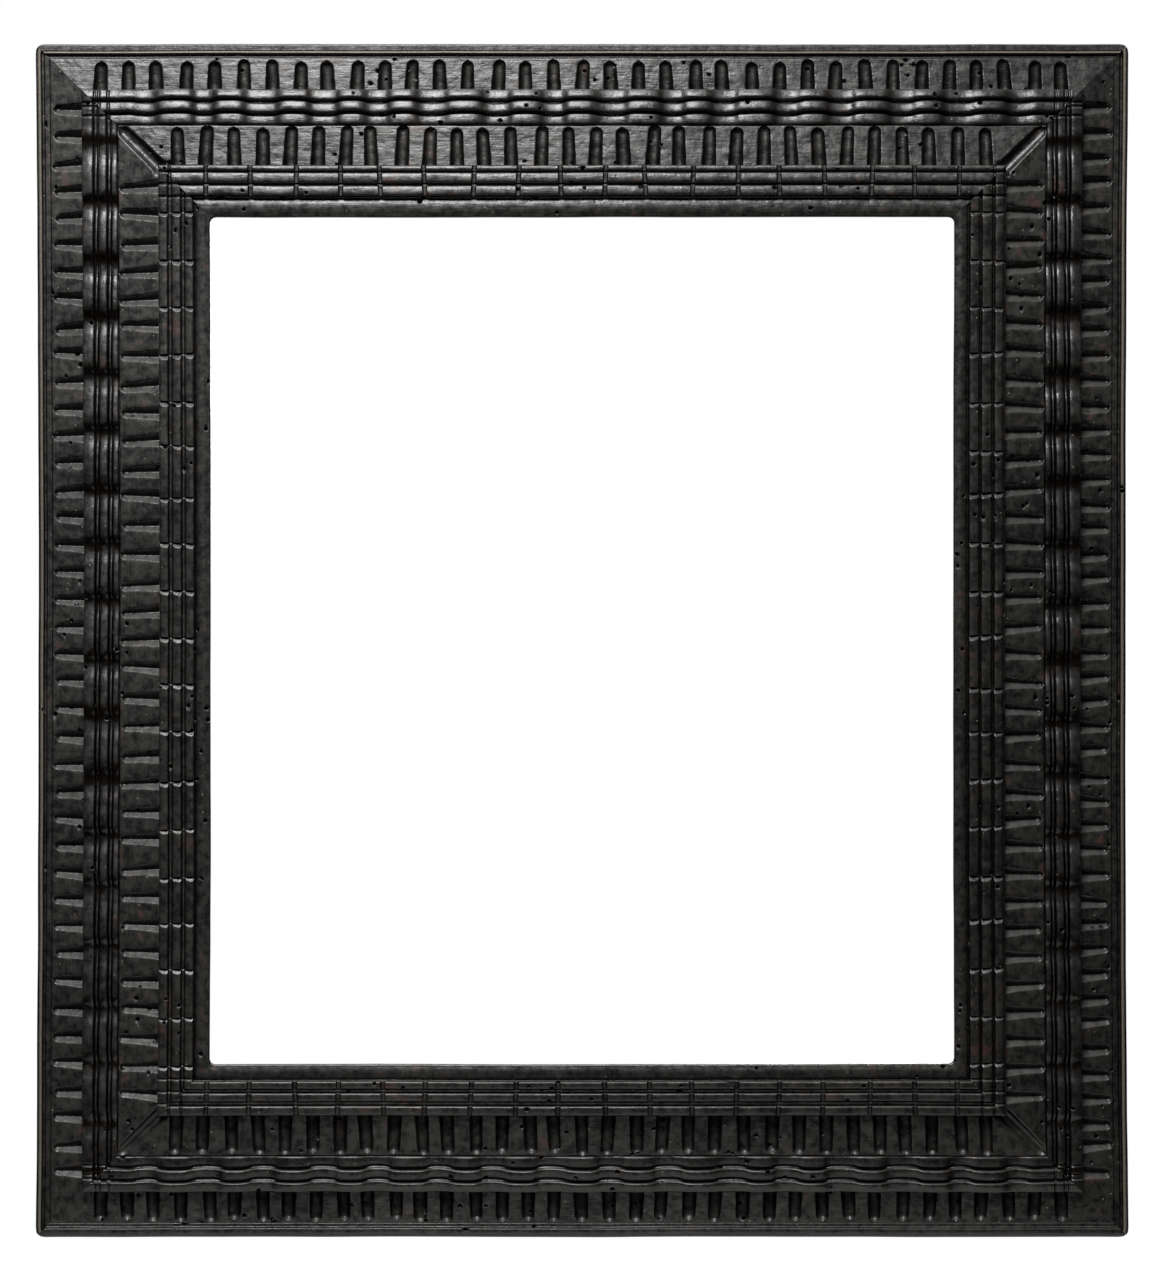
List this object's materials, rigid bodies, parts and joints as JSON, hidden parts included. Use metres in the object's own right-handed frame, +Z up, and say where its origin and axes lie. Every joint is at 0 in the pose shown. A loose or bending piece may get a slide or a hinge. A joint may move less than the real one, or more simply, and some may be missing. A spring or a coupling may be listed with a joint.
{
  "type": "picture frame",
  "caption": "Rectangular ebonised wooden picture frame with fluted friezes, wave mouldings and cut reeds round an open sight, with a rebate, a hanging ring and turn buttons behind.",
  "frame": {"origin": "centre of the sight opening, in the plane of the back frame's back face", "axes": "+X to the right seen from the front, +Z up, +Y towards the wall; the mouldings face -Y"},
  "size_m": [0.546, 0.0416, 0.596],
  "materials": {
    "back_softwood": "bare, aged",
    "peg_oak": "bare, aged",
    "ebonised_moulding": "ebonised, waxed",
    "ebonised_frieze": "ebonised, waxed",
    "ebonised_wave": "ebonised, waxed and polished",
    "forged_iron": "black with light rust",
    "screw_iron": "dull, aged",
    "button_beech": "bare, handled"
  },
  "bodies": {
    "frame": {"back_rail_top": "back_softwood", "back_rail_bottom": "back_softwood", "back_stile_left": "back_softwood", "back_stile_right": "back_softwood", "corner_pegs": "peg_oak", "edge_moulding_top": "ebonised_moulding", "edge_moulding_right": "ebonised_moulding", "edge_moulding_bottom": "ebonised_moulding", "edge_moulding_left": "ebonised_moulding", "outer_frieze_top": "ebonised_frieze", "outer_frieze_right": "ebonised_frieze", "outer_frieze_bottom": "ebonised_frieze", "outer_frieze_left": "ebonised_frieze", "wave_moulding_top": "ebonised_wave", "wave_moulding_right": "ebonised_wave", "wave_moulding_bottom": "ebonised_wave", "wave_moulding_left": "ebonised_wave", "inner_frieze_top": "ebonised_frieze", "inner_frieze_right": "ebonised_frieze", "inner_frieze_bottom": "ebonised_frieze", "inner_frieze_left": "ebonised_frieze", "sight_moulding_top": "ebonised_moulding", "sight_moulding_right": "ebonised_moulding", "sight_moulding_bottom": "ebonised_moulding", "sight_moulding_left": "ebonised_moulding", "ring_staple": "forged_iron", "button_screws": "screw_iron"},
    "ring": {"hanging_ring": "forged_iron"},
    "button_upper_left": {"turn_button_upper_left": "button_beech"},
    "button_lower_left": {"turn_button_lower_left": "button_beech"},
    "button_upper_right": {"turn_button_upper_right": "button_beech"},
    "button_lower_right": {"turn_button_lower_right": "button_beech"}
  },
  "joints": [
    {"name": "ring_swing", "type": "hinge", "parent": "frame", "child": "ring", "pos_m": [0, 0.00185, 0.263], "axis": [1, 0, 0], "range_deg": [0, 180]},
    {"name": "turn_upper_left", "type": "hinge", "parent": "frame", "child": "button_upper_left", "pos_m": [-0.2045, 0.0023, 0.112], "axis": [0, 1, 0], "continuous": true},
    {"name": "turn_lower_left", "type": "hinge", "parent": "frame", "child": "button_lower_left", "pos_m": [-0.2045, 0.0023, -0.112], "axis": [0, 1, 0], "continuous": true},
    {"name": "turn_upper_right", "type": "hinge", "parent": "frame", "child": "button_upper_right", "pos_m": [0.2045, 0.0023, 0.112], "axis": [0, 1, 0], "continuous": true},
    {"name": "turn_lower_right", "type": "hinge", "parent": "frame", "child": "button_lower_right", "pos_m": [0.2045, 0.0023, -0.112], "axis": [0, 1, 0], "continuous": true}
  ]
}
